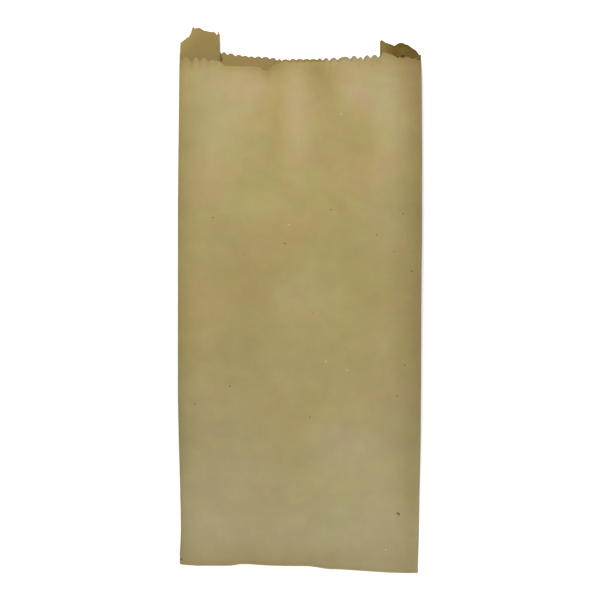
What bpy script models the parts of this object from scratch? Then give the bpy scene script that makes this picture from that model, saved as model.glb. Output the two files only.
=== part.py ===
"""A brown paper lunch bag with side gussets and a pinched bottom, lying on its back.

The bag is one sheet of kraft paper with no joints. A column is a place round the tube: it starts at
the outer edge of the lap seam, runs through the back, the left gusset, the front and the right
gusset, and ends at the seam's inner edge. A station is a distance along the tube from the bottom
fold. It is positive up the faces, and negative round the fold and along the pasted flap.

Metres, +Z up. The front faces up, the mouth points to +Y and the underside lies on z = 0. The
origin is under the middle of the bag.
"""

import math

import bmesh
import bpy
from mathutils import Vector

MM = 0.001

# The paper
PAPER = 0.10 * MM
PASTE = 0.03 * MM

# The bag, folded flat
WIDTH = 130.2 * MM
FACE_LENGTH = 270.0 * MM
GUSSET_DEPTH = 22.0 * MM
FLAP_LENGTH = 16.0 * MM
LAP_WIDTH = 12.0 * MM
LAP_OFFSET = 6.0 * MM
LAP_STEP = 1.2 * MM
LAP_CLEARANCE = 0.3 * MM
FLAP_MARGIN = 2.0 * MM
SETTLE_LENGTH = 26.0 * MM

# How far it has sprung open
CROWN = 8.0 * MM
SIDE_OPENING = 3.6 * MM
CROWN_POWER = 6.0
RISE_LENGTH = 70.0 * MM
MOUTH_CLOSING = 0.25
MOUTH_ZONE = 95.0 * MM

# The knife cuts and the torn gusset ends
CORNER_DROP = 3.9 * MM
TOOTH_PITCH = 3.76 * MM
CUT_MARGIN = 1.0 * MM
FLAP_TOOTH = 1.3 * MM
LEFT_TAB_HEIGHT = 17.7 * MM
RIGHT_TAB_HEIGHT = 10.7 * MM

# Outlines along the side folds: distance from the bottom fold, how far the fold lies inside WIDTH.
LEFT_INSET = (
    (0.0 * MM, 0.9 * MM), (16.0 * MM, 1.5 * MM), (28.0 * MM, 1.4 * MM), (66.0 * MM, 0.4 * MM),
    (88.0 * MM, 0.0 * MM), (195.0 * MM, 0.0 * MM), (270.0 * MM, 0.8 * MM),
)
RIGHT_INSET = (
    (0.0 * MM, 2.2 * MM), (22.0 * MM, 1.6 * MM), (67.0 * MM, 0.8 * MM), (160.0 * MM, 0.3 * MM),
    (172.0 * MM, 0.0 * MM), (221.0 * MM, 0.0 * MM), (270.0 * MM, 0.5 * MM),
)
# Across the bag: place, height above the level part of the bottom fold.
BOTTOM_LINE = (
    (-65.0 * MM, 1.1 * MM), (-60.0 * MM, 0.3 * MM), (-50.0 * MM, 0.0 * MM), (-38.0 * MM, 0.0 * MM),
    (-32.0 * MM, 0.9 * MM), (-26.0 * MM, 0.8 * MM), (-16.0 * MM, 0.0 * MM), (5.0 * MM, -0.2 * MM),
    (15.0 * MM, -1.7 * MM), (21.0 * MM, -1.9 * MM), (45.0 * MM, -3.5 * MM), (56.0 * MM, -3.9 * MM),
)
# Across the bag: place, height of the cut above the mouth line, height of the teeth.
FRONT_CUT = (
    (-65.0 * MM, 0.0 * MM, 2.0 * MM), (-44.0 * MM, -0.3 * MM, 2.0 * MM),
    (-40.0 * MM, -3.3 * MM, 0.4 * MM), (-27.0 * MM, -3.5 * MM, 0.3 * MM),
    (-20.0 * MM, -5.4 * MM, 0.3 * MM), (-16.5 * MM, -5.4 * MM, 0.3 * MM),
    (-12.5 * MM, -2.0 * MM, 0.3 * MM), (-7.5 * MM, 0.1 * MM, 0.9 * MM),
    (10.0 * MM, 0.1 * MM, 0.9 * MM), (21.0 * MM, 0.5 * MM, 1.7 * MM),
    (40.0 * MM, 1.8 * MM, 1.8 * MM), (44.0 * MM, 3.4 * MM, 0.6 * MM),
    (49.0 * MM, 3.3 * MM, 0.6 * MM), (53.0 * MM, 1.2 * MM, 0.6 * MM), (65.0 * MM, 1.1 * MM, 0.6 * MM),
)
BACK_CUT = (
    (-44.0 * MM, 3.9 * MM, 1.2 * MM), (-34.5 * MM, 2.9 * MM, 1.2 * MM),
    (-22.5 * MM, 1.6 * MM, 1.0 * MM), (-10.0 * MM, 0.3 * MM, 1.0 * MM),
    (10.0 * MM, 0.2 * MM, 1.2 * MM), (32.0 * MM, 1.5 * MM, 1.4 * MM), (44.0 * MM, 2.6 * MM, 1.5 * MM),
)
# Along a gusset: share of its depth from the side fold, share of the tab's height.
LEFT_TEAR = (
    (0.00, 0.53), (0.06, 0.60), (0.21, 0.72), (0.24, 0.78), (0.31, 1.00), (0.35, 1.00), (0.38, 0.97),
    (0.48, 0.98), (0.63, 0.88), (0.88, 0.84), (0.93, 0.80), (0.96, 0.84), (1.00, 0.75),
)
LEFT_UNDER_TEAR = ((0.00, 0.20), (0.30, 0.45), (0.55, 0.68), (0.80, 0.62), (1.00, 0.75))
RIGHT_TEAR = (
    (0.00, 0.24), (0.06, 0.31), (0.14, 0.48), (0.28, 0.69), (0.38, 0.77), (0.47, 0.86),
    (0.57, 0.81), (0.66, 0.71), (0.86, 0.85), (0.96, 1.00), (1.00, 0.94),
)
RIGHT_UNDER_TEAR = ((0.00, 0.24), (0.40, 0.55), (0.75, 0.50), (1.00, 0.94))

# Soft valleys in the front: place across the bag, distance below the mouth, half sizes across and
# along, depth, and how far the valley leans to the right for each unit towards the bottom.
VALLEYS = (
    (-16.0 * MM, 20.0 * MM, 8.0 * MM, 42.0 * MM, 1.5 * MM, 0.05),
    (14.0 * MM, 26.0 * MM, 8.0 * MM, 40.0 * MM, 1.5 * MM, 0.22),
    (-8.0 * MM, 150.0 * MM, 30.0 * MM, 50.0 * MM, 0.8 * MM, 0.10),
)

# Facets
FOLD_SEGMENTS = 4
GUSSET_SEGMENTS = 4
FRONT_SEGMENTS = 32
BACK_LEFT_SEGMENTS = 8
BACK_RIGHT_SEGMENTS = 7
LAP_SEGMENTS = 2
FACE_ROWS = 15
ROW_CROWDING = 1.15

# Worked out from the sizes above
PITCH = PAPER + PASTE
FOLD_RADIUS = PITCH / 2
STACK = 3 * PITCH + PAPER
BEND_RADIUS = PASTE
BEND_REACH = BEND_RADIUS + STACK
FLAP_LIFT = 2 * BEND_RADIUS + STACK
PRESSED = FLAP_LENGTH + FLAP_MARGIN
CUT_BAND = FLAP_TOOTH + CUT_MARGIN
MOUTH_BAND = CUT_BAND - min(height for _, height, _ in FRONT_CUT)
LENGTH = CORNER_DROP + FACE_LENGTH + LEFT_TAB_HEIGHT
LOWEST_FOLD = -LENGTH / 2
LEVEL_FOLD = LOWEST_FOLD + CORNER_DROP
SAME_COLUMN = 1e-6
KRAFT = (0.397, 0.314, 0.133, 1.0)

PLIES = {
    "back_left": BACK_LEFT_SEGMENTS,
    "back_left_fold": FOLD_SEGMENTS,
    "left_under_gusset": GUSSET_SEGMENTS,
    "left_inner_fold": FOLD_SEGMENTS,
    "left_over_gusset": GUSSET_SEGMENTS,
    "front_left_fold": FOLD_SEGMENTS,
    "front": FRONT_SEGMENTS,
    "front_right_fold": FOLD_SEGMENTS,
    "right_over_gusset": GUSSET_SEGMENTS,
    "right_inner_fold": FOLD_SEGMENTS,
    "right_under_gusset": GUSSET_SEGMENTS,
    "back_right_fold": FOLD_SEGMENTS,
    "back_right": BACK_RIGHT_SEGMENTS,
    "lap_step": 1,
    "lap": LAP_SEGMENTS,
}
COLUMNS = sum(PLIES.values())


def clear_scene():
    """Remove whatever the file opened with."""
    for old in list(bpy.data.objects):
        bpy.data.objects.remove(old, do_unlink=True)


def smooth(value):
    """Ease from 0 to 1."""
    value = min(max(value, 0.0), 1.0)
    return value * value * (3.0 - 2.0 * value)


def eased(outline, at, value=1):
    """One value of an outline at one place, eased between its points."""
    for before, after in zip(outline, outline[1:]):
        if at <= after[0]:
            share = smooth((at - before[0]) / (after[0] - before[0]))
            return before[value] + (after[value] - before[value]) * share
    return outline[-1][value]


def side_edges(distance):
    """How far the paper's middle stands out at the left and right side folds."""
    half = WIDTH / 2 - PAPER / 2
    return half - eased(LEFT_INSET, distance), half - eased(RIGHT_INSET, distance)


def openness(station):
    """How far the tube has sprung open: 0 where it is pasted, 1 along the middle."""
    rise = smooth((station - PRESSED) / RISE_LENGTH)
    closing = MOUTH_CLOSING * smooth((station - FACE_LENGTH + MOUTH_ZONE) / MOUTH_ZONE)
    return rise * (1.0 - closing)


def front_crown(share, station):
    """How high the front stands above its side folds."""
    across = 2.0 * share - 1.0
    inset = 1.0 - abs(across) ** CROWN_POWER
    x = across * WIDTH / 2
    below_mouth = FACE_LENGTH - station
    height = CROWN * inset
    for place, distance, half_x, half_y, drop, lean in VALLEYS:
        off_y = below_mouth - distance
        off_x = x - place - lean * off_y
        height -= drop * inset * math.exp(-((off_x / half_x) ** 2) - (off_y / half_y) ** 2)
    return height * openness(station)


def straight(start, end):
    """A flat ply between two points of the section."""
    return lambda share: (
        start[0] + (end[0] - start[0]) * share,
        start[1] + (end[1] - start[1]) * share,
    )


def turned(x, height, start_angle, turn):
    """A fold: half a turn of the paper about one point of the section."""

    def at(share):
        angle = math.radians(start_angle + turn * share)
        return x + FOLD_RADIUS * math.cos(angle), height + FOLD_RADIUS * math.sin(angle)

    return at


def section(station):
    """The middle of the paper round the tube, as (x, height above the back's underside)."""
    left, right = side_edges(abs(station))
    low = PAPER / 2
    side = low + 3 * PITCH + SIDE_OPENING * openness(station)
    waist = (low + side) / 2
    outer_left = FOLD_RADIUS - left
    outer_right = right - FOLD_RADIUS
    inner_left = GUSSET_DEPTH - WIDTH / 2 - FOLD_RADIUS
    inner_right = WIDTH / 2 - GUSSET_DEPTH + FOLD_RADIUS
    lap_right = LAP_OFFSET + LAP_WIDTH / 2
    lap_left = LAP_OFFSET - LAP_WIDTH / 2
    lap_top = low + PITCH

    def front(share):
        return outer_left + (outer_right - outer_left) * share, side + front_crown(share, station)

    shapes = {
        "back_left": straight((lap_right, low), (outer_left, low)),
        "back_left_fold": turned(outer_left, low + FOLD_RADIUS, 270, -180),
        "left_under_gusset": straight((outer_left, low + PITCH), (inner_left, waist - FOLD_RADIUS)),
        "left_inner_fold": turned(inner_left, waist, -90, 180),
        "left_over_gusset": straight((inner_left, waist + FOLD_RADIUS), (outer_left, side - PITCH)),
        "front_left_fold": turned(outer_left, side - FOLD_RADIUS, 270, -180),
        "front": front,
        "front_right_fold": turned(outer_right, side - FOLD_RADIUS, 90, -180),
        "right_over_gusset": straight((outer_right, side - PITCH), (inner_right, waist + FOLD_RADIUS)),
        "right_inner_fold": turned(inner_right, waist, 90, 180),
        "right_under_gusset": straight((inner_right, waist - FOLD_RADIUS), (outer_right, low + PITCH)),
        "back_right_fold": turned(outer_right, low + FOLD_RADIUS, 90, -180),
        "back_right": straight((outer_right, low), (lap_right + LAP_CLEARANCE + LAP_STEP, low)),
        "lap_step": straight(
            (lap_right + LAP_CLEARANCE + LAP_STEP, low), (lap_right + LAP_CLEARANCE, lap_top)
        ),
        "lap": straight((lap_right + LAP_CLEARANCE, lap_top), (lap_left, lap_top)),
    }
    points = []
    for name, segments in PLIES.items():
        points += [shapes[name](step / segments) for step in range(segments)]
    points.append(shapes["lap"](1.0))
    return points


def fold_line(x):
    """The lowest line of the bottom fold, which drops to the right-hand corner."""
    return LEVEL_FOLD + eased(BOTTOM_LINE, x)


def placed(x, height, station, turn=0.0):
    """A point of the section carried to its place in the bag.

    turn is the angle round the bottom fold: 0 on the faces and half a turn on the flap.
    """
    base = fold_line(x) + BEND_REACH
    if turn == 0.0:
        straightened = smooth(station / FACE_LENGTH) * (LEVEL_FOLD - fold_line(x) - BEND_REACH)
        lift = FLAP_LIFT * (1.0 - smooth((station - PRESSED) / SETTLE_LENGTH))
        return Vector((x, base + station + straightened, lift + height))
    radius = BEND_RADIUS + height
    along = abs(station)
    return Vector((x, base + along - radius * math.sin(turn), BEND_REACH + radius * math.cos(turn)))


def sheet_point(column, station, turn=0.0):
    """The place of one column at one station, with the column between two others if need be."""
    points = section(station if turn == 0.0 else -abs(station))
    before = min(int(column), COLUMNS - 1)
    share = column - before
    x = points[before][0] * (1.0 - share) + points[before + 1][0] * share
    height = points[before][1] * (1.0 - share) + points[before + 1][1] * share
    return placed(x, height, station, turn)


def first_column(ply):
    """The column where a ply starts."""
    names = list(PLIES)
    return sum(PLIES[name] for name in names[: names.index(ply)])


def tooth_line(first_x, last_x, phase):
    """The points of a serrated cut between two places, as (x, 1 at a tip and 0 in a notch)."""
    low, high = sorted((first_x, last_x))
    half = TOOTH_PITCH / 2
    start = math.ceil((low - phase) / half + 0.25)
    end = math.floor((high - phase) / half - 0.25)
    marks = [(phase + half * step, float(step % 2 == 0)) for step in range(start, end + 1)]
    return marks if first_x < last_x else marks[::-1]


def cut_ply(ply, first_x, last_x, phase, height_at):
    """A toothed cut across one ply, as (column, height)."""
    start = first_column(ply)
    segments = PLIES[ply]
    marks = [(first_x, 0.0)] + tooth_line(first_x, last_x, phase) + [(last_x, 0.0)]
    return [
        (start + segments * (x - first_x) / (last_x - first_x), height_at(x, tip))
        for x, tip in marks
    ]


def torn_ply(ply, outline, tab_height, inwards):
    """A torn edge across one gusset ply, as (column, height)."""
    start = first_column(ply)
    segments = PLIES[ply]
    marks = outline if inwards else outline[::-1]
    return [
        (start + segments * (share if inwards else 1.0 - share), tab_height * height)
        for share, height in marks
    ]


def front_cut_height(x, tip):
    """The front's cut above the mouth line, with its teeth worn off along the torn dip."""
    return eased(FRONT_CUT, x) + eased(FRONT_CUT, x, 2) * (tip - 0.5)


def back_cut_height(x, tip):
    """The back's cut above the mouth line: a shallow arc that rises towards both gussets."""
    return eased(BACK_CUT, x) + eased(BACK_CUT, x, 2) * (tip - 0.5)


def mouth_edge():
    """The whole cut at the mouth in the order of the columns, as (column, station)."""
    left, right = side_edges(FACE_LENGTH)
    lap_right = LAP_OFFSET + LAP_WIDTH / 2
    lap_left = LAP_OFFSET - LAP_WIDTH / 2
    step_right = lap_right + LAP_CLEARANCE + LAP_STEP
    back_phase = TOOTH_PITCH / 2
    edge = cut_ply("back_left", lap_right, -left, back_phase, back_cut_height)
    edge += torn_ply("left_under_gusset", LEFT_UNDER_TEAR, LEFT_TAB_HEIGHT, True)
    edge += torn_ply("left_over_gusset", LEFT_TEAR, LEFT_TAB_HEIGHT, False)
    edge += cut_ply("front", -left, right, 0.0, front_cut_height)
    edge += torn_ply("right_over_gusset", RIGHT_TEAR, RIGHT_TAB_HEIGHT, True)
    edge += torn_ply("right_under_gusset", RIGHT_UNDER_TEAR, RIGHT_TAB_HEIGHT, False)
    edge += cut_ply("back_right", right, step_right, back_phase, back_cut_height)
    edge += cut_ply("lap", lap_right + LAP_CLEARANCE, lap_left, back_phase, back_cut_height)
    return [(column, FACE_LENGTH + height) for column, height in edge]


def flap_edge():
    """The knife's cut across the flap, through every ply at once, as (column, length)."""
    edge = []
    points = section(-FLAP_LENGTH)
    for ply, segments in PLIES.items():
        if ply.endswith("fold") or ply == "lap_step":
            continue
        start = first_column(ply)
        first_x = points[start][0]
        last_x = points[start + segments][0]
        edge += cut_ply(ply, first_x, last_x, 0.0, lambda x, tip: FLAP_TOOTH * (tip - 0.5))
    return [(column, FLAP_LENGTH + height) for column, height in edge]


def face_stations():
    """Stations up the faces, from the bottom fold to the band that the cut is in."""
    stations = [0.0, FLAP_LENGTH / 2]
    climb = FACE_LENGTH - MOUTH_BAND - PRESSED
    for row in range(FACE_ROWS + 1):
        stations.append(PRESSED + climb * (row / FACE_ROWS) ** ROW_CROWDING)
    return stations


def add_row(sheet, station, turn=0.0):
    """One row of points round the whole tube."""
    points = section(station if turn == 0.0 else -abs(station))
    return [sheet.verts.new(placed(x, height, station, turn)) for x, height in points]


def join_rows(sheet, lower, upper):
    """Paper between two rows."""
    for column in range(COLUMNS):
        corners = (lower[column], lower[column + 1], upper[column + 1], upper[column])
        sheet.faces.new(corners)


def with_columns(edge):
    """A cut edge with a point added wherever it passes a column."""
    full = []
    for (start, near), (end, far) in zip(edge, edge[1:]):
        full.append((start, near))
        for column in range(math.floor(start + SAME_COLUMN) + 1, math.ceil(end - SAME_COLUMN)):
            full.append((column, near + (far - near) * (column - start) / (end - start)))
    return full + [edge[-1]]


def finish_edge(sheet, row, edge, turn=0.0):
    """Paper from the last row out to a cut edge, as one face to each column's width."""
    marks = [(column, sheet.verts.new(sheet_point(column, far, turn))) for column, far in edge]
    for column in range(COLUMNS):
        top = [
            vertex
            for place, vertex in marks
            if column - SAME_COLUMN < place < column + 1 + SAME_COLUMN
        ]
        sheet.faces.new([row[column], row[column + 1]] + top[::-1])


def folded_sheet():
    """The middle surface of the paper, folded, as a mesh."""
    sheet = bmesh.new()
    rows = [add_row(sheet, station) for station in face_stations()]
    finish_edge(sheet, rows[-1], with_columns(mouth_edge()))
    bend = [
        add_row(sheet, 0.0, math.pi * step / FOLD_SEGMENTS) for step in range(FOLD_SEGMENTS, 0, -1)
    ]
    flap = add_row(sheet, FLAP_LENGTH - CUT_BAND, math.pi)
    finish_edge(sheet, flap, with_columns(flap_edge()), math.pi)
    chain = [flap] + bend + rows
    for lower, upper in zip(chain, chain[1:]):
        join_rows(sheet, lower, upper)
    bmesh.ops.recalc_face_normals(sheet, faces=sheet.faces)
    mesh = bpy.data.meshes.new("paper_bag")
    sheet.to_mesh(mesh)
    sheet.free()
    return mesh


def kraft_paper():
    """Plain unbleached kraft paper."""
    material = bpy.data.materials.new("kraft_paper")
    material.use_nodes = True
    shader = material.node_tree.nodes["Principled BSDF"]
    shader.inputs["Base Color"].default_value = KRAFT
    shader.inputs["Roughness"].default_value = 0.85
    shader.inputs["Metallic"].default_value = 0.0
    return material


def paper_bag():
    """The bag: the folded sheet with the paper's thickness."""
    mesh = folded_sheet()
    mesh.materials.append(kraft_paper())
    bag = bpy.data.objects.new("paper_bag", mesh)
    bpy.context.scene.collection.objects.link(bag)
    paper = bag.modifiers.new("paper", "SOLIDIFY")
    paper.thickness = PAPER
    paper.offset = 0.0
    paper.use_even_offset = True
    paper.use_rim = True
    return bag


clear_scene()
paper_bag()
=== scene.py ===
"""The look of a brown paper lunch bag that lies on its back on a pale table.

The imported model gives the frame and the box. The visible bag is one fine sheet: a flat grid is cut to
the knife's line, folded round the same tube as the solid, given the paper's thickness and finished in
kraft. Metres, +Z up, the front panel faces up and the mouth points to +Y.
"""

import logging
import math
from dataclasses import dataclass
from enum import Enum

import bpy
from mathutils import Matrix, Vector, noise


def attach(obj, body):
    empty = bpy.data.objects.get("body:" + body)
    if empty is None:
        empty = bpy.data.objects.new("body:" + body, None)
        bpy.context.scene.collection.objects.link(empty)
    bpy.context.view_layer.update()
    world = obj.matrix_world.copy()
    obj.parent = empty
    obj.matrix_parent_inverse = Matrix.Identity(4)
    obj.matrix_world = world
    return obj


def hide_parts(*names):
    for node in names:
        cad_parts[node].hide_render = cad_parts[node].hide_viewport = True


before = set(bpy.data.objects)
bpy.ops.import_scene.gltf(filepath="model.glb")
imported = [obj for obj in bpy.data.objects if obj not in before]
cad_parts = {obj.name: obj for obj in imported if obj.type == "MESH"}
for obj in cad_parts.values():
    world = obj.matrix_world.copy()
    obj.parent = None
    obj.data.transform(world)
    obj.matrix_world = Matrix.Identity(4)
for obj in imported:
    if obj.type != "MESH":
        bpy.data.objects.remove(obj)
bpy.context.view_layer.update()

MM = 0.001
LOG = logging.getLogger("paper_bag")

Outline = tuple[tuple[float, float], ...]
Colour = tuple[float, float, float]
Tints = tuple[Colour, Colour, Colour]
Span = tuple[float, float]
Socket = bpy.types.NodeSocket
Tree = bpy.types.NodeTree


def smooth(value: float) -> float:
    """Ease from 0 to 1."""
    value = min(max(value, 0.0), 1.0)
    return value * value * (3.0 - 2.0 * value)


def along(outline: Outline, at: float) -> float:
    """Read an outline at one place, straight between its points.

    Args:
        outline: Pairs of place and height, in the order of their places.
        at: The place to read.

    Returns:
        The height there.
    """
    for (x0, y0), (x1, y1) in zip(outline, outline[1:]):
        if at <= x1:
            return y0 + (y1 - y0) * min(max((at - x0) / (x1 - x0), 0.0), 1.0)
    return outline[-1][1]


def swell(x: float, y: float, size: float, seed: float) -> float:
    """Smooth noise between about -1 and 1.

    Args:
        x: First coordinate, in metres.
        y: Second coordinate, in metres.
        size: How wide one swell is, in metres.
        seed: Which pattern to take.

    Returns:
        The value there.
    """
    return noise.noise(Vector((x / size, y / size, seed)))


def lone(piece: bpy.types.Object) -> bpy.types.Object:
    """Select one object alone and make it active.

    Args:
        piece: The object.

    Returns:
        The same object.
    """
    bpy.ops.object.select_all(action="DESELECT")
    piece.select_set(True)
    bpy.context.view_layer.objects.active = piece
    return piece


def outline(*points: tuple[float, float]) -> Outline:
    """An outline from places and heights in millimetres."""
    return tuple((place * MM, height * MM) for place, height in points)


def torn(*points: tuple[float, float]) -> Outline:
    """A torn edge from shares of the ply's depth and heights in millimetres."""
    return tuple((share, height * MM) for share, height in points)


def maths(tree: Tree, kind: str, operation: str, *values: Socket | float | tuple) -> bpy.types.NodeOutputs:
    """Add a maths node and feed it.

    Args:
        tree: The material's nodes.
        kind: The node's type, for numbers or for vectors.
        operation: What it works out.
        values: Its inputs in order, each a socket or a constant.

    Returns:
        The node's outputs.
    """
    node = tree.nodes.new(kind)
    node.operation = operation
    for socket, value in zip(node.inputs, values):
        if isinstance(value, bpy.types.NodeSocket):
            tree.links.new(value, socket)
        else:
            socket.default_value = value
    return node.outputs


def ranged(tree: Tree, value: Socket, source: Span, target: Span) -> Socket:
    """Carry a value from one range to another, held at both ends.

    Args:
        tree: The material's nodes.
        value: The value.
        source: The range that it comes in.
        target: The range that it is carried to.

    Returns:
        The new value.
    """
    node = tree.nodes.new("ShaderNodeMapRange")
    node.inputs["From Min"].default_value, node.inputs["From Max"].default_value = source
    node.inputs["To Min"].default_value, node.inputs["To Max"].default_value = target
    tree.links.new(value, node.inputs["Value"])
    return node.outputs["Result"]


class Stretch(Enum):
    """The stretches of paper round the tube, each with its place in the order and its columns."""

    BACK_LEFT = (0, 41)
    BACK_LEFT_FOLD = (1, 4)
    LEFT_UNDER_GUSSET = (2, 6)
    LEFT_INNER_FOLD = (3, 4)
    LEFT_OVER_GUSSET = (4, 14)
    FRONT_LEFT_FOLD = (5, 4)
    FRONT = (6, 70)
    FRONT_RIGHT_FOLD = (7, 4)
    RIGHT_OVER_GUSSET = (8, 14)
    RIGHT_INNER_FOLD = (9, 4)
    RIGHT_UNDER_GUSSET = (10, 6)
    BACK_RIGHT_FOLD = (11, 4)
    BACK_RIGHT = (12, 24)
    LAP_STEP = (13, 1)
    LAP = (14, 6)

    @property
    def columns(self) -> int:
        """How many columns of the sheet the stretch takes."""
        return self.value[1]

    @property
    def gusset(self) -> bool:
        """Whether the stretch is a ply of a gusset or its inner fold."""
        return "GUSSET" in self.name or "INNER" in self.name

    @property
    def apart(self) -> float:
        """The stretch's own level in the pattern of the paper, so that each has its own."""
        return 0.2 * self.value[0]

    @property
    def folds(self) -> bool:
        """Whether the paper turns round here."""
        return self.name.endswith("FOLD")


@dataclass(frozen=True)
class Hump:
    """A soft hump, hollow or patch on the front panel, in metres from the middle and the mouth line.

    Args:
        x: Its middle across the bag.
        below: How far below the mouth line its middle lies.
        half_x: Its half size across the bag.
        half_y: Its half size along the bag.
        amount: Its height, or its share of light or dark.
        lean: How far it leans to the right for each unit towards the bottom.
    """

    x: float
    below: float
    half_x: float
    half_y: float
    amount: float
    lean: float = 0.0

    def at(self, x: float, below: float) -> float:
        """How much of it is felt at one place.

        Args:
            x: Place across the bag.
            below: Distance below the mouth line.

        Returns:
            Its share of the amount.
        """
        off_y = below - self.below
        off_x = x - self.x - self.lean * off_y
        return self.amount * math.exp(-((off_x / self.half_x) ** 2) - (off_y / self.half_y) ** 2)


def patches(*rows: tuple[float, ...]) -> tuple[Hump, ...]:
    """Humps from rows of x, below, half_x and half_y in millimetres, the amount and any lean."""
    return tuple(Hump(*(size * MM for size in row[:4]), *row[4:]) for row in rows)


@dataclass(frozen=True)
class Tear:
    """The torn end of a gusset ply.

    Args:
        outline: Share of the gusset's depth from the side fold, and height above the mouth line.
        fray: How far the torn fibres wander.
        seed: Which pattern of fibres it has.
        fibre: How wide one torn tuft is.
        fine_fibre: How wide one finer tuft is.
    """

    outline: Outline
    fray: float
    seed: float
    fibre: float = 1.3 * MM
    fine_fibre: float = 0.6 * MM

    def cut(self, share: float, depth: float) -> float:
        """How far the ply stands above the mouth line at a share of the gusset's depth.

        Args:
            share: Share of the depth from the side fold.
            depth: The gusset's depth.

        Returns:
            The height.
        """
        place = share * depth
        ragged = swell(place, 0.0, self.fibre, self.seed)
        ragged += 0.6 * swell(place, 0.0, self.fine_fibre, self.seed)
        held = smooth(8.0 * min(share, 1.0 - share))
        return along(self.outline, share) + self.fray * ragged * held


@dataclass(frozen=True)
class Saw:
    """The knife's saw line along a stretch of the mouth: rounded teeth between sharp notches.

    Args:
        heights: Place across the bag and the height of the teeth there.
        shift: How far the paper had slid under the knife.
        point: How pointed the teeth are: under 1 is blunt, over 1 is pointed.
        seed: Which pattern of wear the teeth have.
    """

    heights: Outline
    shift: float
    point: float
    seed: float

    def cut(self, x: float, notches: tuple[float, ...]) -> float:
        """How far the line stands out of its mean at one place, between the knife's notches.

        Args:
            x: Place across the bag.
            notches: Where the notches are, from left to right.

        Returns:
            The height, which is 0 past the last notch.
        """
        place = x - self.shift
        for index, (left, right) in enumerate(zip(notches, notches[1:])):
            if left <= place < right:
                tip = math.sin(math.pi * (place - left) / (right - left)) ** self.point - 0.6
                worn = 1.0 + 0.3 * noise.noise(Vector((index, self.seed, 0.5)))
                return along(self.heights, x) * tip * worn
        return 0.0


@dataclass(frozen=True)
class Mark:
    """A small spot in the paper, such as a bark speck, a fibre knot or a nick, or painted shade in a gap.

    Args:
        x: Its middle across the bag.
        station: Its middle up the face from the bottom fold.
        half_x: Its half size across the bag.
        half_y: Its half size along the bag.
        ply: The stretch of paper that it is in.
    """

    x: float
    station: float
    half_x: float
    half_y: float
    ply: Stretch = Stretch.FRONT


def spots(*rows: tuple[float, ...], ply: Stretch = Stretch.FRONT) -> tuple[Mark, ...]:
    """Marks in one ply from rows of x, station, half_x and half_y in millimetres."""
    return tuple(Mark(*(size * MM for size in row), ply) for row in rows)


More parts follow.
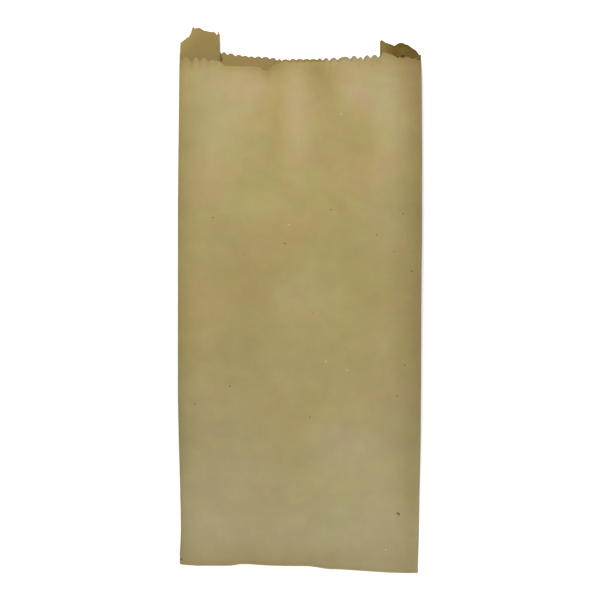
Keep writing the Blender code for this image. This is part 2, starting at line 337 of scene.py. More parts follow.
@dataclass
class PaperBag:
    """The bag: one sheet of kraft paper, folded, with every size in metres.

    The cuts, saws and tears are the lines of the mouth. The humps shape the front panel. The tones
    make it lighter and darker, mostly as painted light and shade; the blushes and blooms make it pinker
    and bluer where the real one is. The mouth's brim has painted shade, and the gusset ends are darker,
    partly with painted shade.
    """

    paper: float = 0.10 * MM
    paste: float = 0.03 * MM
    width: float = 130.2 * MM
    face_length: float = 270.0 * MM
    gusset_depth: float = 22.35 * MM
    flap_length: float = 16.0 * MM
    lap_width: float = 12.0 * MM
    lap_offset: float = 6.0 * MM
    lap_step: float = 1.2 * MM
    lap_clearance: float = 0.3 * MM
    flap_margin: float = 2.0 * MM
    settle_length: float = 26.0 * MM
    crown: float = 8.0 * MM
    crown_power: float = 6.0
    side_opening: float = 3.6 * MM
    rise_length: float = 70.0 * MM
    mouth_closing: float = 0.25
    mouth_zone: float = 95.0 * MM
    corner_drop: float = 3.9 * MM
    left_tab_height: float = 17.7 * MM
    mouth_band: float = 9.0 * MM
    face_rows: int = 92
    mouth_rows: int = 8
    mouth_cuts: int = 3
    flap_rows: int = 5
    bend_rows: int = 4
    cockle: float = 0.20 * MM
    cockle_size: float = 24.0 * MM
    fine_cockle_size: float = 9.0 * MM
    cockle_rise: float = 20.0 * MM
    torn_middle: float = -25.0 * MM
    torn_reach: float = 20.0 * MM
    fray: float = 0.2 * MM
    fray_size: float = 1.3 * MM
    left_inset: Outline = outline(
        (0, 0.9), (6, 1), (16, 1.55), (28, 1.4), (48, 0.95), (66, 0.45), (88, 0), (195, 0), (225, 0.3),
        (270, 0.75),
    )
    right_inset: Outline = outline(
        (0, 2.2), (9, 2), (22, 1.65), (48, 1.2), (67, 0.8), (112, 0.5), (160, 0.28), (172, 0.04),
        (221, 0), (259, 0.2), (272, 0.5),
    )
    bottom_line: Outline = outline(
        (-65, 1.2), (-62, 0.5), (-58, 0.3), (-55, 0.05), (-40, 0), (-37, 0.1), (-34.7, 0.4), (-32, 0.9),
        (-26.7, 0.85), (-21, 0.4), (-16, 0.1), (-8, -0.1), (4.5, -0.2), (8, -0.6), (13.3, -1.5),
        (16, -1.75), (21, -1.9), (32, -2.6), (42.6, -3.35), (48, -3.65), (54, -3.85), (65, -3.9),
    )
    notches: tuple[float, ...] = tuple(
        place * MM
        for place in (
            -64.8, -58.0, -53.8, -49.3, -45.0, -42.0, -38.8, -34.5, -30.5, -27.5, -24.1, -20.3, -16.1,
            -12.3, -9.8, -5.6, -2.0, 1.8, 5.3, 9.0, 12.0, 15.7, 20.0, 26.9, 30.9, 33.6, 37.7, 41.9, 45.6,
            49.4, 53.1, 56.9, 60.6, 64.4,
        )
    )
    front_cut: Outline = outline(
        (-65, 0.1), (-50.5, 0.1), (-48, -0.6), (-44.5, -0.7), (-42, -1.6), (-40, -3.6), (-25, -3.8),
        (-21.4, -4.1), (-19.9, -5.7), (-18.2, -6.2), (-16.5, -5.7), (-14.8, -3.3), (-11.4, -2),
        (-9.5, -1.4), (10, -1.4), (14, -1.1), (21, -0.6), (32, 0), (40, 0.6), (42.4, 1), (43.2, 1.9),
        (44.2, 3.8), (46.4, 3.6), (47.3, 2.6), (48.2, 3), (49.8, 2), (51.2, 1.4), (53.4, 1.3), (54.8, 2),
        (56, 1.5), (61.3, 1.2), (63.5, 0.8), (65, 0.8),
    )
    back_cut: Outline = outline(
        (-44, 4.3), (-40.4, 3.75), (-36.9, 3), (-32.6, 2.4), (-28.9, 2.1), (-26, 1.6), (-18.7, 1.45),
        (-15, 0.9), (-11.8, 0.15), (-7, 0), (-3, 0.35), (8, 0.4), (14, 0.35), (18, 0.7), (22.6, 1.1),
        (29.2, 1.6), (32.2, 1), (36, 1.75), (44, 2.3),
    )
    front_saw: Saw = Saw(
        outline(
            (-65, 3), (-54, 2.8), (-49, 1.6), (-44, 0.8), (-40, 0.2), (-12, 0.2), (-8, 0.7), (10, 0.8),
            (14, 1.2), (40, 1.3), (43, 0), (65, 0),
        ),
        shift=0.5 * MM,
        point=1.3,
        seed=7.0,
    )
    back_saw: Saw = Saw(
        outline(
            (-65, 1.8), (-38, 1.7), (-33, 0.9), (-27, 0.9), (-24, 1.4), (-8, 1.2), (-3, 0.8), (8, 0.8),
            (12, 1.8), (42, 2.3), (65, 2.3),
        ),
        shift=0.0,
        point=0.7,
        seed=4.0,
    )
    left_tear: Tear = Tear(
        torn(
            (0, 8.6), (0.027, 9.1), (0.078, 10), (0.168, 11.6), (0.23, 12.3), (0.276, 14.1), (0.32, 17.2),
            (0.345, 17.5), (0.39, 16.6), (0.42, 17), (0.49, 17.2), (0.535, 16.7), (0.615, 15.6),
            (0.675, 15.4), (0.76, 14.9), (0.84, 15), (0.89, 14.6), (0.935, 13), (0.96, 14.9),
            (0.985, 15.1), (1, 13.2),
        ),
        fray=0.12 * MM,
        seed=3.1,
    )
    left_under_tear: Tear = Tear(
        torn((0, 3.6), (0.3, 8), (0.55, 12), (0.8, 11), (1, 13.2)), fray=0.3 * MM, seed=5.7
    )
    right_tear: Tear = Tear(
        torn(
            (0, 3.3), (0.02, 2.4), (0.05, 2.8), (0.087, 4.2), (0.135, 5.1), (0.23, 6.4), (0.28, 7.4),
            (0.327, 8), (0.375, 8.2), (0.42, 8.7), (0.47, 9.2), (0.57, 8.7), (0.615, 8), (0.66, 7.6),
            (0.76, 8.4), (0.856, 9.1), (0.904, 9.7), (0.93, 10.3), (0.964, 10.6), (1, 10.1),
        ),
        fray=0.16 * MM,
        seed=8.3,
    )
    right_under_tear: Tear = Tear(
        torn((0, 2.6), (0.4, 5.8), (0.75, 5.3), (1, 10.1)), fray=0.3 * MM, seed=9.9
    )
    # Bark specks, and dark marks painted as shade in the gaps and crease at the right end of the mouth and
    # in the slit by the left gusset's inner fold.
    dark_specks_and_gap_shade: tuple[Mark, ...] = (
        spots(
            (-46.3, 185.6, 0.4, 0.4), (16.4, 190.2, 0.4, 0.4), (54.8, 188.6, 0.45, 0.3),
            (-8, 171.8, 0.5, 0.35), (-29.9, 165.6, 0.3, 0.25), (40.9, 177.4, 0.35, 0.45),
            (50, 168.7, 0.35, 0.35), (59.5, 158.3, 0.4, 0.4), (6.9, 134.7, 0.3, 0.3),
            (55.8, 109.3, 0.35, 0.35), (-37.3, 95.6, 0.5, 0.35), (-55.9, 86, 0.4, 0.35),
            (5.3, 79.4, 0.45, 0.35), (51.6, 93.1, 0.35, 0.35), (52.2, 31.2, 0.85, 0.5),
            # From (52.1, 271.5) on: painted shade in the gaps and crease at the right end of the mouth.
            (52.9, 30.7, 0.5, 0.7), (-63.2, 2.2, 0.45, 0.6), (52.1, 271.5, 0.95, 0.8),
            (54.7, 271.6, 1.5, 1.0), (60, 270.9, 2.2, 0.3), (63.2, 270.3, 1.3, 0.4),
        )
        # Painted shade in the slit by the left gusset's inner fold.
        + spots((-41.8, 270.5, 0.45, 1.05), ply=Stretch.BACK_LEFT)
        # Painted shade in the gap over the right gusset's end.
        + spots((54.9, 271.8, 1.3, 0.8), ply=Stretch.RIGHT_OVER_GUSSET)
    )
    pale_marks: tuple[Mark, ...] = spots(
        (21.8, 241, 0.45, 0.4), (-5.9, 181.9, 0.4, 0.35), (13.8, 109.9, 0.45, 0.35),
        (25, 105.6, 0.45, 0.35), (45.8, 11.6, 0.4, 0.4),
    )
    # Painted shade along the front's torn edge at the mouth.
    brim_shade: float = -0.15
    brim_depth: float = 6.0 * MM
    bleached: tuple[float, float, float] = (0.22, -0.14, 0.28)
    bleached_depth: float = 2.0 * MM
    bleached_from: float = 10.0 * MM
    bleached_to: float = 42.5 * MM
    # Width of the darker band along the folds: worn paper with painted shade.
    rub_and_shade_width: float = 1.6 * MM
    # How the gussets' torn ends darken: painted shade in the right inner fold's crease and along the
    # front's edge over the left tab, a darker right end and darker torn edges.
    darkening_reach: float = 12.0 * MM
    darkening_fade: float = 9.0 * MM
    darkening_from: float = 42.0 * MM
    darker_edge_width: float = 0.9 * MM
    crease_shade_width: float = 1.1 * MM
    # Painted shadow of the front's edge on the left tab.
    edge_shadow_middle: float = 0.5 * MM
    edge_shadow_reach: float = 3.0 * MM
    edge_shadow_size: float = 2.0 * MM
    blotch_size: float = 4.0 * MM
    outside: Tints = ((0.374, 0.286, 0.124), (0.361, 0.293, 0.115), (0.352, 0.294, 0.154))
    inside: Tints = ((0.298, 0.212, 0.075), (0.284, 0.216, 0.073), (0.288, 0.214, 0.078))
    cut_edge: Tints = ((0.36, 0.29, 0.14), (0.34, 0.29, 0.13), (0.34, 0.28, 0.14))
    # Darker humps on the right gusset's torn end.
    right_end_darkening: tuple[Hump, ...] = patches(
        (54.5, -8.2, 3.6, 2.2, 0.30), (51, -3, 3, 2.5, 0.12), (61, -4, 2.5, 2, 0.15),
    )
    humps: tuple[Hump, ...] = patches(
        (-16, 20, 8, 42, -1.5 * MM, 0.05), (14, 26, 8, 40, -1.5 * MM, 0.22),
        (-8, 150, 30, 50, -0.8 * MM, 0.10),
    )
    # Lighter and darker patches on the front, mostly painted light and shade: darker side strips and bottom
    # band where the paper turns down, and lit and shaded bands by the mouth; the rest is the paper's own
    # uneven tone.
    tones_and_painted_shading: tuple[Hump, ...] = patches(
        (-66, 135, 8, 900, -0.13), (66, 135, 9, 900, -0.05), (0, 264, 900, 7, -0.035),
        (-20, 274, 60, 12, -0.16), (-13, 5, 6, 5, -0.07), (9, 6.5, 9, 6, -0.10), (11, 1, 12, 3.5, 0.13),
        (31, -0.5, 13, 2.5, 0.08), (-10, 8, 7, 5, -0.05), (57, 3, 12, 9, -0.085), (-34, 21, 13, 24, 0.08),
        (-26, 16, 7, 8, 0.05), (-12, 36, 4.5, 24, -0.095), (-1.5, 28, 7.5, 34, 0.11),
        (15.5, 16, 6, 20, -0.10, 0.35), (29, 18, 12, 10, 0.15), (45, 34, 11, 32, 0.14),
        (48.5, 12, 6, 9, 0.07), (36, 41, 12, 20, -0.07), (27, 55, 11, 18, -0.03), (-59, 38, 8, 20, -0.08),
        (45, 84, 10, 18, 0.09), (-28, 118, 18, 12, -0.07), (-3, 124, 14, 10, 0.09),
        (33, 121, 12, 12, -0.055), (-27, 156, 14, 22, -0.08), (45, 153, 8, 14, 0.085),
        (25, 203, 22, 16, 0.09), (-5, 209, 10, 14, -0.07), (59, 232, 5.5, 32, -0.12),
        (56, 269, 14, 9, -0.055),
    )
    blushes: tuple[Hump, ...] = patches(
        (60, 6, 9, 14, 0.085), (0, 3, 900, 5, 0.03), (0, 268, 900, 5, 0.03), (22, 12, 10, 10, 0.04),
        (8, 1, 20, 3.5, -0.08), (9, 12, 6, 8, 0.03), (-19, 27, 12, 30, 0.035), (-46, 42, 16, 16, -0.045),
        (50, 34, 8, 14, -0.065), (-21, 77, 22, 8, -0.075), (-8, 97, 12, 14, 0.03),
        (-24, 116, 8, 26, 0.055), (18, 128, 18, 22, -0.065), (62, 145, 4, 16, 0.08),
        (42, 166, 14, 14, 0.035), (-10, 188, 20, 16, 0.045), (21, 228, 24, 26, -0.045),
    )
    blooms: tuple[Hump, ...] = patches(
        (-51, 25, 13, 34, 0.18), (43, 14, 13, 16, 0.06), (14, 1, 22, 4, 0.07), (31, -0.5, 14, 3, 0.13),
        (-10, 36, 5, 30, -0.045), (40, 52, 12, 20, -0.05), (8, 78, 20, 10, -0.055),
        (-3, 97, 10, 16, -0.065), (19, 185, 22, 14, -0.12, -0.8), (-48, 249, 22, 14, 0.055),
        (40, 252, 28, 20, 0.045),
    )

    def __post_init__(self) -> None:
        """Work out what follows from the sizes."""
        self.pitch = self.paper + self.paste
        self.fold_radius = self.pitch / 2
        self.stack = 3 * self.pitch + self.paper
        self.bend_radius = self.paste
        self.bend_reach = self.bend_radius + self.stack
        self.flap_lift = 2 * self.bend_radius + self.stack
        self.pressed = self.flap_length + self.flap_margin
        length = self.corner_drop + self.face_length + self.left_tab_height
        self.level_fold = self.corner_drop - length / 2

    def side_edges(self, station: float) -> tuple[float, float]:
        """How far the paper's middle stands out at the left and right side folds."""
        half = self.width / 2 - self.paper / 2
        return half - along(self.left_inset, station), half - along(self.right_inset, station)

    def openness(self, station: float) -> float:
        """How far the tube has sprung open: 0 where it is pasted, 1 along the middle.

        Args:
            station: Distance up the face from the bottom fold.

        Returns:
            The share.
        """
        rise = smooth((station - self.pressed) / self.rise_length)
        near = smooth((station - self.face_length + self.mouth_zone) / self.mouth_zone)
        return rise * (1.0 - self.mouth_closing * near)

    def front_crown(self, share: float, station: float) -> float:
        """How high the front stands above its side folds.

        Args:
            share: Place across the front, 0 at the left fold and 1 at the right.
            station: Distance up the face from the bottom fold.

        Returns:
            The height, with the paper's hollows and cockles.
        """
        across = 2.0 * share - 1.0
        inset = 1.0 - abs(across) ** self.crown_power
        x = across * self.width / 2
        below = self.face_length - station
        height = self.crown * inset
        height += inset * sum(hump.at(x, below) for hump in self.humps)
        height *= self.openness(station)
        rough = swell(x, station, self.cockle_size, 1.0)
        rough += 0.6 * swell(x, station * 0.6, self.fine_cockle_size, 2.0)
        return height + self.cockle * rough * inset * smooth((station - self.pressed) / self.cockle_rise)

    def section_point(self, stretch: Stretch, share: float, station: float) -> tuple[float, float]:
        """The middle of the paper at one place round the tube.

        Args:
            stretch: The stretch of paper.
            share: How far along the stretch, from 0 to 1.
            station: Distance up the face from the bottom fold, negative on the flap.

        Returns:
            x, and the height above the back's underside.
        """
        left, right = self.side_edges(abs(station))
        low = self.paper / 2
        side = low + 3 * self.pitch + self.side_opening * self.openness(station)
        waist = (low + side) / 2
        bend = self.fold_radius
        outer_left, outer_right = bend - left, right - bend
        inner_left = self.gusset_depth - self.width / 2 - bend
        inner_right = self.width / 2 - self.gusset_depth + bend
        lap_right = self.lap_offset + self.lap_width / 2
        lap_left = self.lap_offset - self.lap_width / 2
        step_left = lap_right + self.lap_clearance
        step_right = step_left + self.lap_step
        lap_top = low + self.pitch
        folds = {
            Stretch.BACK_LEFT_FOLD: (outer_left, low + bend, 270, -180),
            Stretch.LEFT_INNER_FOLD: (inner_left, waist, -90, 180),
            Stretch.FRONT_LEFT_FOLD: (outer_left, side - bend, 270, -180),
            Stretch.FRONT_RIGHT_FOLD: (outer_right, side - bend, 90, -180),
            Stretch.RIGHT_INNER_FOLD: (inner_right, waist, 90, 180),
            Stretch.BACK_RIGHT_FOLD: (outer_right, low + bend, 90, -180),
        }
        if stretch in folds:
            x, height, start, turn = folds[stretch]
            angle = math.radians(start + turn * share)
            return x + bend * math.cos(angle), height + bend * math.sin(angle)
        plies = {
            Stretch.BACK_LEFT: (lap_right, low, outer_left, low),
            Stretch.LEFT_UNDER_GUSSET: (outer_left, low + self.pitch, inner_left, waist - bend),
            Stretch.LEFT_OVER_GUSSET: (inner_left, waist + bend, outer_left, side - self.pitch),
            Stretch.FRONT: (outer_left, side, outer_right, side),
            Stretch.RIGHT_OVER_GUSSET: (outer_right, side - self.pitch, inner_right, waist + bend),
            Stretch.RIGHT_UNDER_GUSSET: (inner_right, waist - bend, outer_right, low + self.pitch),
            Stretch.BACK_RIGHT: (outer_right, low, step_right, low),
            Stretch.LAP_STEP: (step_right, low, step_left, lap_top),
            Stretch.LAP: (step_left, lap_top, lap_left, lap_top),
        }
        x0, z0, x1, z1 = plies[stretch]
        height = z0 + (z1 - z0) * share
        if stretch is Stretch.FRONT:
            height += self.front_crown(share, station)
        return x0 + (x1 - x0) * share, height

    def placed(self, x: float, height: float, station: float, turn: float) -> Vector:
        """Carry a point of the section to its place in the bag.

        Args:
            x: Place across the bag.
            height: Height above the back's underside.
            station: Distance from the bottom fold along the paper.
            turn: Angle round the bottom fold: 0 on the faces and half a turn on the flap.

        Returns:
            The point.
        """
        base = self.level_fold + along(self.bottom_line, x) + self.bend_reach
        if turn == 0.0:
            level = smooth(station / self.face_length) * (self.level_fold - base)
            lift = self.flap_lift * (1.0 - smooth((station - self.pressed) / self.settle_length))
            return Vector((x, base + station + level, lift + height))
        radius = self.bend_radius + height
        return Vector(
            (x, base + station - radius * math.sin(turn), self.bend_reach + radius * math.cos(turn))
        )

    def mouth_cut(self, stretch: Stretch, share: float) -> float:
        """How far the paper reaches above the mouth line at one place round the tube.

        Args:
            stretch: The stretch of paper.
            share: How far along the stretch, from 0 to 1.

        Returns:
            The height, negative where the paper ends below the line.
        """
        ends = {
            Stretch.LEFT_UNDER_GUSSET: (self.left_under_tear, share),
            Stretch.LEFT_INNER_FOLD: (self.left_tear, 1.0),
            Stretch.LEFT_OVER_GUSSET: (self.left_tear, 1.0 - share),
            Stretch.RIGHT_OVER_GUSSET: (self.right_tear, share),
            Stretch.RIGHT_INNER_FOLD: (self.right_tear, 1.0),
            Stretch.RIGHT_UNDER_GUSSET: (self.right_under_tear, 1.0 - share),
        }
        if stretch in ends:
            tear, place = ends[stretch]
            return tear.cut(place, self.gusset_depth)
        x, _ = self.section_point(stretch, share, self.face_length)
        if stretch in (Stretch.FRONT, Stretch.FRONT_LEFT_FOLD, Stretch.FRONT_RIGHT_FOLD):
            ragged = smooth(1.0 - abs(x - self.torn_middle) / self.torn_reach)
            fray = self.fray * swell(x, 0.0, self.fray_size, 6.0) * ragged
            return along(self.front_cut, x) + self.front_saw.cut(x, self.notches) + fray
        return along(self.back_cut, x) + self.back_saw.cut(x, self.notches)

    def rows(self) -> list[tuple[float, float, float]]:
        """The rows of the sheet from the flap's cut to the mouth.

        Returns:
            For each row its station, its turn round the bottom fold, and how much of the nearest
            cut's wandering it takes in.
        """
        made = []
        for step in range(self.flap_rows, 0, -1):
            share = step / self.flap_rows
            made.append((self.flap_length * share**0.6, math.pi, max(0.0, 4.0 * share - 3.0)))
        for step in range(self.bend_rows, 0, -1):
            made.append((0.0, math.pi * step / self.bend_rows, 0.0))
        last = self.face_length - self.mouth_band
        for step in range(self.face_rows + 1):
            made.append((last * step / self.face_rows, 0.0, 0.0))
        for step in range(1, self.mouth_rows + 1):
            share = step / self.mouth_rows
            made.append((last + self.mouth_band * share, 0.0, share))
        return made

    def plain_columns(self) -> set[int]:
        """The columns that lie in a fold or in the lap's step, which need no finer cut.

        Returns:
            Their places in the sheet.
        """
        plain = set()
        first = 0
        for stretch in Stretch:
            if stretch.folds or stretch is Stretch.LAP_STEP:
                plain.update(range(first, first + stretch.columns))
            first += stretch.columns
        return plain

    def flat_sheet(self, rows: int) -> bpy.types.Object:
        """A flat grid, one unit for each column and row, cut finer along the mouth.

        Args:
            rows: How many rows of faces it has.

        Returns:
            The sheet, its corner at the origin.
        """
        columns = sum(stretch.columns for stretch in Stretch)
        bpy.ops.object.select_all(action="DESELECT")
        bpy.ops.mesh.primitive_grid_add(x_subdivisions=columns, y_subdivisions=rows, size=1.0)
        sheet = bpy.context.object
        sheet.name = "kraft_sheet"
        bpy.ops.object.mode_set(mode="EDIT")
        bpy.ops.transform.translate(value=(0.5, 0.5, 0.0))
        bpy.ops.transform.resize(value=(columns, rows, 1.0), center_override=(0.0, 0.0, 0.0))
        bpy.ops.mesh.select_mode(type="FACE")
        bpy.ops.mesh.select_all(action="DESELECT")
        bpy.ops.object.mode_set(mode="OBJECT")
        plain = self.plain_columns()
        for face in sheet.data.polygons:
            near_mouth = face.center.y > rows - self.mouth_rows
            face.select = near_mouth and int(face.center.x) not in plain
        bpy.ops.object.mode_set(mode="EDIT")
        bpy.ops.mesh.subdivide(number_cuts=self.mouth_cuts)
        bpy.ops.object.mode_set(mode="OBJECT")
        return sheet

    def locate(self, column: float) -> tuple[Stretch, float]:
        """Find the stretch that a column of the flat sheet lies in, and how far along it.

        Args:
            column: The column, counted from the sheet's left edge.

        Returns:
            The stretch, and the share of it, from 0 to 1.
        """
        for stretch in Stretch:
            if column < stretch.columns or stretch is Stretch.LAP:
                return stretch, min(column / stretch.columns, 1.0)
            column -= stretch.columns
        return Stretch.LAP, 1.0

    def fold(self, sheet: bpy.types.Object, rows: list[tuple[float, float, float]]) -> None:
        """Cut the flat sheet to the knife's line and fold it round the tube.

        Args:
            sheet: The flat sheet, one unit for each column and row.
            rows: What each whole row stands for.
        """
        kinds = {"rub_and_shade": "FLOAT", "tab_shade_and_darkening": "FLOAT", "patch": "FLOAT_VECTOR", "flat": "FLOAT_VECTOR"}
        for name, kind in kinds.items():
            sheet.data.attributes.new(name, kind, "POINT")
        rub_and_shade, tab_shade_and_darkening, tint, flat = (sheet.data.attributes[name].data for name in kinds)
        for index, vertex in enumerate(sheet.data.vertices):
            stretch, share = self.locate(round(vertex.co.x, 4))
            row = round(vertex.co.y, 4)
            below = min(int(row), len(rows) - 2)
            near, far = rows[below], rows[below + 1]
            between = row - below
            if near[1] == 0.0:
                wander = near[2] + (far[2] - near[2]) * between
                at = near[0] + (far[0] - near[0]) * between + wander * self.mouth_cut(stretch, share)
                turn = 0.0
                x, height = self.section_point(stretch, share, at)
            else:
                at, turn, wander = near if between == 0.0 else far
                x, height = self.section_point(stretch, share, -at)
                at += wander * self.back_saw.cut(x, self.notches)
            vertex.co = self.placed(x, height, at, turn)
            signed = -at if turn else at
            rub_and_shade[index].value = self.rubbing_and_shading(stretch, share, signed)
            tab_shade_and_darkening[index].value = self.tab_shading_and_darkening(stretch, share, x, signed)
            tint[index].vector = self.patching(stretch, share, x, signed)
            flat[index].vector = (x, signed, stretch.apart)
        sheet.data.update()

    def rubbing_and_shading(self, stretch: Stretch, share: float, station: float) -> float:
        """How worn the paper is, with painted shade: 1 on a fold, easing off to 0 on the faces beside it.

        Args:
            stretch: The stretch of paper.
            share: How far along the stretch, from 0 to 1.
            station: Distance up the face from the bottom fold.

        Returns:
            The share of wear and painted shade.
        """
        if station <= 0.0 or stretch.folds:
            return 1.0
        x, _ = self.section_point(stretch, share, station)
        left, right = self.side_edges(station)
        side = smooth(1.0 - min(x + left, right - x) / self.rub_and_shade_width)
        return max(smooth(1.0 - station / self.rub_and_shade_width), side)

    def tab_shading_and_darkening(self, stretch: Stretch, share: float, x: float, station: float) -> float:
        """How much darker the gussets' torn ends are, partly as painted shade.

        Args:
            stretch: The stretch of paper.
            share: How far along the stretch, from 0 to 1.
            x: Place across the bag.
            station: Distance up the face from the bottom fold.

        Returns:
            The darkening's share, which is strongest on the right gusset's torn end. Along the front's edge
            over the left tab and in the right inner fold's crease it is painted shade.
        """
        above = station - self.face_length
        if not stretch.gusset or above < -self.darkening_reach:
            return 0.0
        edge = smooth(1.0 - (self.mouth_cut(stretch, share) - above) / self.darker_edge_width)
        if x < 0.0:
            # On the left tab: a darker torn edge, and the painted shadow of the front's edge along it.
            edge_shadow = smooth(1.0 - abs(above - self.edge_shadow_middle) / self.edge_shadow_reach)
            return 0.25 * edge + 0.14 * edge_shadow * (0.6 + 0.8 * swell(x, above, self.edge_shadow_size, 12.0))
        blotch = 0.5 + 0.5 * swell(x, above, self.blotch_size, 11.0)
        side = smooth((x - self.darkening_from) / self.darkening_fade)
        # Painted shade in the crease of the right inner fold.
        crease_shade = smooth(1.0 - (x - self.width / 2 + self.gusset_depth) / self.crease_shade_width)
        darkening = (0.32 + 0.46 * side) * (0.75 + 0.5 * blotch) + 0.5 * edge + 0.5 * crease_shade
        darkening += sum(darker_hump.at(x, -above) for darker_hump in self.right_end_darkening)
        return smooth((above + self.darkening_reach) / self.darkening_fade) * darkening

    def patching(self, stretch: Stretch, share: float, x: float, station: float) -> Colour:
        """How far the front panel is off its mean colour.

        Args:
            stretch: The stretch of paper.
            share: How far along the stretch, from 0 to 1.
            x: Place across the bag.
            station: Distance up the face from the bottom fold.

        Returns:
            How much lighter, pinker and bluer it is. The lighter and darker tones are mostly painted light
            and shade, the brim of the mouth has painted shade, and the back's teeth are bleached on the
            right.
        """
        below = self.face_length - station
        if stretch is not Stretch.FRONT or station < 0.0:
            near = smooth(0.5 - below / self.bleached_depth)
            near *= smooth((x - self.bleached_from) / self.brim_depth)
            light, pink, blue = (near * part if x < self.bleached_to else 0.0 for part in self.bleached)
            return light, pink, blue
        # Lighter and darker tones, mostly painted light and shade; pinker and bluer patches of the paper's
        # own colour.
        light, pink, blue = (
            sum(hump.at(x, below) for hump in kind) for kind in (self.tones_and_painted_shading, self.blushes, self.blooms)
        )
        # Painted shade along the front's torn edge at the mouth.
        if below < self.brim_depth + self.mouth_band:
            light += self.brim_shade * smooth(1.0 - (self.mouth_cut(stretch, share) + below) / self.brim_depth)
        return light, pink, blue

    def thicken(self, sheet: bpy.types.Object, finishes: list[bpy.types.Material]) -> None:
        """Give the folded sheet the paper's thickness, with its own finish on each face.

        Args:
            sheet: The folded sheet.
            finishes: The outside, the inside and the cut edge.
        """
        lone(sheet)
        for finish in finishes:
            sheet.data.materials.append(finish)
        shell = sheet.modifiers.new("paper", "SOLIDIFY")
        shell.thickness = self.paper
        shell.offset = 0.0
        shell.use_even_offset = True
        shell.material_offset = 1
        shell.material_offset_rim = 2
        bpy.ops.object.modifier_apply(modifier=shell.name)
        bpy.ops.object.shade_smooth_by_angle(angle=math.radians(50.0))

    def build(self) -> bpy.types.Object:
        """Make the bag's sheet and dress it.

        Returns:
            The finished piece.
        """
        rows = self.rows()
        sheet = self.flat_sheet(len(rows) - 1)
        self.fold(sheet, rows)
        faces = {"outside": self.outside, "inside": self.inside, "cut_edge": self.cut_edge}
        marks = (self.dark_specks_and_gap_shade, self.pale_marks)
        finishes = [KraftFinish(f"kraft_{name}", *tints, *marks) for name, tints in faces.items()]
        self.thicken(sheet, [finish.build() for finish in finishes])
        return sheet


